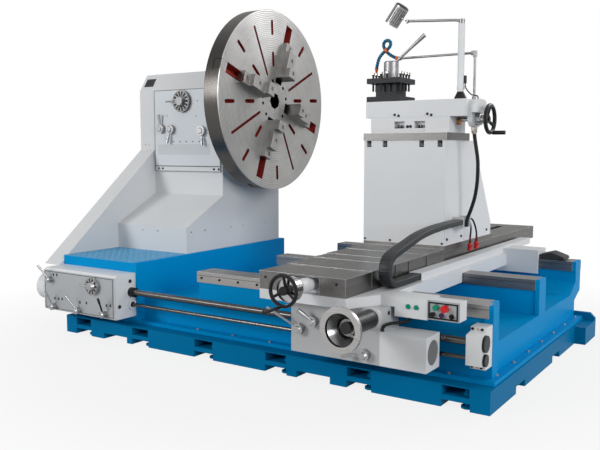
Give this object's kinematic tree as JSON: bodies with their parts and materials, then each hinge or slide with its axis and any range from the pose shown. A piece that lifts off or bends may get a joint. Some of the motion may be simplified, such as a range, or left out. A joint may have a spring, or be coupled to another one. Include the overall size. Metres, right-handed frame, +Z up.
{
  "type": "facing lathe",
  "caption": "Floor-standing facing lathe: slotted faceplate with stepped jaws, low bed with open swarf gaps, and a tall tool pedestal on a long cross slide.",
  "frame": {"origin": "centre of the base frame's footprint, on the floor", "axes": "+X along the spindle away from the headstock, +Y to the rear, +Z up"},
  "size_m": [3.542, 3.686, 2.439],
  "materials": {
    "grey_paint": "semi-gloss",
    "blue_paint": "semi-gloss",
    "ground_steel": "satin",
    "bright_steel": "polished",
    "plate_iron": "turned",
    "black_plastic": "satin",
    "lamp_grey": "satin",
    "start_green": "gloss",
    "stop_red": "gloss",
    "reset_purple": "gloss",
    "cable_rubber": "matt",
    "hose_plastic": "gloss"
  },
  "bodies": {
    "frame": {"base_frame": "blue_paint", "bed_casting": "blue_paint", "bed_ways": "ground_steel", "headstock_housing": "grey_paint", "spindle_bearings": "bright_steel", "gearbox_housing": "grey_paint", "screw_end_bracket": "grey_paint"},
    "spindle": {"spindle": "ground_steel", "faceplate": "plate_iron"},
    "carriage": {"saddle": "grey_paint", "cross_way": "ground_steel", "apron": "grey_paint", "rapid_motor_cover": "grey_paint", "control_box": "grey_paint", "motor_cable": "cable_rubber"},
    "cross_slide": {"cross_slide": "grey_paint", "pedestal": "grey_paint", "pedestal_top_plate": "ground_steel", "compound_base": "grey_paint", "plug_leads": "cable_rubber", "cable_duct": "cable_rubber"},
    "compound_slide": {"compound_slide": "grey_paint", "slide_cables": "cable_rubber", "lamp_pole": "grey_paint", "coolant_pipe": "bright_steel", "coolant_hose": "hose_plastic"},
    "drive_shaft": {"drive_shaft": "ground_steel"},
    "speed_dial": {"speed_dial": "black_plastic"},
    "feed_dial": {"feed_dial": "black_plastic"},
    "lead_screw": {"lead_screw": "bright_steel"},
    "feed_rod": {"feed_rod": "bright_steel"},
    "apron_handwheel": {"apron_handwheel": "bright_steel"},
    "cross_handwheel": {"cross_handwheel": "bright_steel"},
    "compound_handwheel": {"compound_handwheel": "black_plastic"},
    "tool_post": {"tool_post": "ground_steel"},
    "tool_post_lever": {"tool_post_lever": "bright_steel"},
    "lamp_arm": {"lamp_arm": "bright_steel"},
    "lamp_head": {"lamp_head": "lamp_grey"},
    "start_button": {"start_button": "start_green"},
    "stop_button": {"stop_button": "stop_red"},
    "jog_button": {"jog_button": "black_plastic"},
    "reset_button": {"reset_button": "reset_purple"},
    "selector_switch": {"selector_switch": "black_plastic"},
    "jaw_1": {"jaw_1": "ground_steel"},
    "feed_lever_1": {"feed_lever_1": "black_plastic"},
    "jaw_2": {"jaw_2": "ground_steel"},
    "feed_lever_2": {"feed_lever_2": "black_plastic"},
    "jaw_3": {"jaw_3": "ground_steel"},
    "feed_lever_3": {"feed_lever_3": "black_plastic"},
    "jaw_4": {"jaw_4": "ground_steel"},
    "feed_lever_4": {"feed_lever_4": "black_plastic"},
    "speed_lever_1": {"speed_lever_1": "black_plastic"},
    "apron_lever_1": {"apron_lever_1": "bright_steel"},
    "way_cover_1": {"way_cover_1": "bright_steel"},
    "speed_lever_2": {"speed_lever_2": "black_plastic"},
    "apron_lever_2": {"apron_lever_2": "bright_steel"},
    "way_cover_2": {"way_cover_2": "bright_steel"},
    "speed_lever_3": {"speed_lever_3": "black_plastic"},
    "apron_lever_3": {"apron_lever_3": "bright_steel"},
    "way_cover_3": {"way_cover_3": "bright_steel"}
  },
  "joints": [
    {"name": "spindle_turn", "type": "hinge", "parent": "frame", "child": "spindle", "pos_m": [-1.29, 0.434, 1.723], "axis": [1, 0, 0], "continuous": true},
    {"name": "drive_turn", "type": "hinge", "parent": "frame", "child": "drive_shaft", "pos_m": [-1.29, 0.434, 1.463], "axis": [1, 0, 0], "continuous": true},
    {"name": "jaw_1_slide", "type": "slide", "parent": "spindle", "child": "jaw_1", "axis": [0, 0.3322, 0.9432], "range_m": [-0.04, 0.16]},
    {"name": "jaw_2_slide", "type": "slide", "parent": "spindle", "child": "jaw_2", "axis": [0, 0.9432, -0.3322], "range_m": [-0.04, 0.16]},
    {"name": "jaw_3_slide", "type": "slide", "parent": "spindle", "child": "jaw_3", "axis": [0, -0.3322, -0.9432], "range_m": [-0.04, 0.16]},
    {"name": "jaw_4_slide", "type": "slide", "parent": "spindle", "child": "jaw_4", "axis": [0, -0.9432, 0.3322], "range_m": [-0.04, 0.16]},
    {"name": "speed_dial_turn", "type": "hinge", "parent": "frame", "child": "speed_dial", "pos_m": [-1.373, 0.038, 1.722], "axis": [0, -1, 0], "range_deg": [-90, 90]},
    {"name": "speed_lever_1_turn", "type": "hinge", "parent": "frame", "child": "speed_lever_1", "pos_m": [-1.612, 0.038, 1.505], "axis": [0, -1, 0], "range_deg": [-60, 60]},
    {"name": "speed_lever_2_turn", "type": "hinge", "parent": "frame", "child": "speed_lever_2", "pos_m": [-1.501, 0.038, 1.498], "axis": [0, -1, 0], "range_deg": [-25, 60]},
    {"name": "speed_lever_3_turn", "type": "hinge", "parent": "frame", "child": "speed_lever_3", "pos_m": [-1.167, 0.038, 1.481], "axis": [0, -1, 0], "range_deg": [-60, 60]},
    {"name": "feed_dial_turn", "type": "hinge", "parent": "frame", "child": "feed_dial", "pos_m": [-1.161, -1.12, 0.4], "axis": [0, -1, 0], "range_deg": [-90, 90]},
    {"name": "feed_lever_1_turn", "type": "hinge", "parent": "frame", "child": "feed_lever_1", "pos_m": [-1.61, -1.12, 0.405], "axis": [0, -1, 0], "range_deg": [-40, 40]},
    {"name": "feed_lever_2_turn", "type": "hinge", "parent": "frame", "child": "feed_lever_2", "pos_m": [-1.576, -1.12, 0.212], "axis": [0, -1, 0], "range_deg": [-40, 40]},
    {"name": "feed_lever_3_turn", "type": "hinge", "parent": "frame", "child": "feed_lever_3", "pos_m": [-1.318, -1.12, 0.214], "axis": [0, -1, 0], "range_deg": [-40, 40]},
    {"name": "feed_lever_4_turn", "type": "hinge", "parent": "frame", "child": "feed_lever_4", "pos_m": [-1.054, -1.12, 0.218], "axis": [0, -1, 0], "range_deg": [-40, 40]},
    {"name": "lead_screw_turn", "type": "hinge", "parent": "frame", "child": "lead_screw", "pos_m": [0, -0.967, 0.356], "axis": [1, 0, 0], "continuous": true},
    {"name": "feed_rod_turn", "type": "hinge", "parent": "frame", "child": "feed_rod", "pos_m": [0, -0.967, 0.271], "axis": [1, 0, 0], "continuous": true},
    {"name": "carriage_travel", "type": "slide", "parent": "frame", "child": "carriage", "axis": [1, 0, 0], "range_m": [-0.75, 0.08]},
    {"name": "apron_wheel_turn", "type": "hinge", "parent": "carriage", "child": "apron_handwheel", "pos_m": [1.014, -1.16, 0.459], "axis": [0, -1, 0], "range_deg": [-46.84, 430.72]},
    {"name": "apron_lever_1_turn", "type": "hinge", "parent": "carriage", "child": "apron_lever_1", "pos_m": [0.568, -1.16, 0.345], "axis": [0, -1, 0], "range_deg": [-10, 30]},
    {"name": "apron_lever_2_turn", "type": "hinge", "parent": "carriage", "child": "apron_lever_2", "pos_m": [0.656, -1.16, 0.397], "axis": [0, -1, 0], "range_deg": [-35, 35]},
    {"name": "apron_lever_3_turn", "type": "hinge", "parent": "carriage", "child": "apron_lever_3", "pos_m": [0.98, -1.16, 0.259], "axis": [0, -1, 0], "range_deg": [-30, 30]},
    {"name": "start_button_press", "type": "slide", "parent": "carriage", "child": "start_button", "axis": [0, 1, 0], "range_m": [0, 0.005], "stiffness_N_per_m": 400, "springref_m": -0.002},
    {"name": "stop_button_press", "type": "slide", "parent": "carriage", "child": "stop_button", "axis": [0, 1, 0], "range_m": [0, 0.005], "stiffness_N_per_m": 400, "springref_m": -0.002},
    {"name": "jog_button_press", "type": "slide", "parent": "carriage", "child": "jog_button", "axis": [0, 1, 0], "range_m": [0, 0.005], "stiffness_N_per_m": 400, "springref_m": -0.002},
    {"name": "reset_button_press", "type": "slide", "parent": "carriage", "child": "reset_button", "axis": [0, 1, 0], "range_m": [0, 0.005], "stiffness_N_per_m": 400, "springref_m": -0.002},
    {"name": "selector_turn", "type": "hinge", "parent": "carriage", "child": "selector_switch", "pos_m": [1.405, -1.04, 0.491], "axis": [0, -1, 0], "range_deg": [-45, 45]},
    {"name": "cross_travel", "type": "slide", "parent": "carriage", "child": "cross_slide", "axis": [0, 1, 0], "range_m": [-0.62, 0.3], "deforming": ["cable_duct"]},
    {"name": "cross_wheel_turn", "type": "hinge", "parent": "carriage", "child": "cross_handwheel", "pos_m": [0.668, -1.47, 0.613], "axis": [0, -1, 0], "range_deg": [-4263.81, 2063.65]},
    {"name": "way_cover_1_slide", "type": "slide", "parent": "carriage", "child": "way_cover_1", "axis": [0, 1, 0], "range_m": [-0.156, 0.076]},
    {"name": "way_cover_2_slide", "type": "slide", "parent": "carriage", "child": "way_cover_2", "axis": [0, 1, 0], "range_m": [-0.311, 0.151]},
    {"name": "way_cover_3_slide", "type": "slide", "parent": "carriage", "child": "way_cover_3", "axis": [0, 1, 0], "range_m": [-0.466, 0.226]},
    {"name": "compound_travel", "type": "slide", "parent": "cross_slide", "child": "compound_slide", "axis": [1, 0, 0], "range_m": [-0.07, 0.12], "deforming": ["slide_cables"]},
    {"name": "compound_wheel_turn", "type": "hinge", "parent": "compound_slide", "child": "compound_handwheel", "pos_m": [1.148, 0.176, 1.5273], "axis": [1, 0, 0], "range_deg": [-1260.36, 2159.91]},
    {"name": "tool_post_turn", "type": "hinge", "parent": "compound_slide", "child": "tool_post", "pos_m": [0.436, 0.176, 1.656], "axis": [0, 0, 1], "continuous": true},
    {"name": "post_lever_turn", "type": "hinge", "parent": "compound_slide", "child": "tool_post_lever", "pos_m": [0.436, 0.176, 1.816], "axis": [0, 0, 1], "range_deg": [-75, 15]},
    {"name": "lamp_arm_swing", "type": "hinge", "parent": "compound_slide", "child": "lamp_arm", "pos_m": [0.934, 0.2, 2.1506], "axis": [0, 0, 1], "range_deg": [-120, 120]},
    {"name": "lamp_head_tilt", "type": "hinge", "parent": "lamp_arm", "child": "lamp_head", "pos_m": [0.538, 0.2, 2.2036], "axis": [0, 1, 0], "range_deg": [-40, 40]}
  ],
  "couplings": [
    {"joint": "drive_turn", "follows": "spindle_turn", "ratio": -3},
    {"joint": "apron_wheel_turn", "follows": "carriage_travel", "rad_per_m": -10},
    {"joint": "cross_wheel_turn", "follows": "cross_travel", "rad_per_m": 120},
    {"joint": "way_cover_1_slide", "follows": "cross_travel", "ratio": 0.25},
    {"joint": "way_cover_2_slide", "follows": "cross_travel", "ratio": 0.5},
    {"joint": "way_cover_3_slide", "follows": "cross_travel", "ratio": 0.75},
    {"joint": "compound_wheel_turn", "follows": "compound_travel", "rad_per_m": 314}
  ]
}
